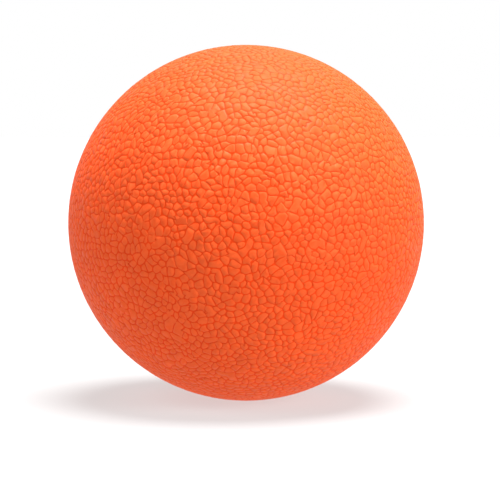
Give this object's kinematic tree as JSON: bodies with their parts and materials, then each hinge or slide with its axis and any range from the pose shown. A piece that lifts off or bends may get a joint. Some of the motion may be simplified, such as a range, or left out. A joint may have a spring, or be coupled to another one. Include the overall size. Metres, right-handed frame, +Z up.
{
  "type": "massage ball",
  "caption": "Round massage ball for rolling out muscles: a firm core keyed inside a pebble-grained rubber cover, with a small trimmed flat to rest on.",
  "frame": {"origin": "centre of the ball", "axes": "+Z up, away from the trimmed flat that the ball rests on; +Y across the seam, from the front cover half to the rear one; +X along the seam"},
  "size_m": [0.063, 0.063, 0.0627],
  "materials": {
    "cover": "satin, pebble grained",
    "core": "matt, as moulded"
  },
  "bodies": {
    "root": {"core_ball": "core", "front_cover_half": "cover", "rear_cover_half": "cover"}
  },
  "joints": []
}
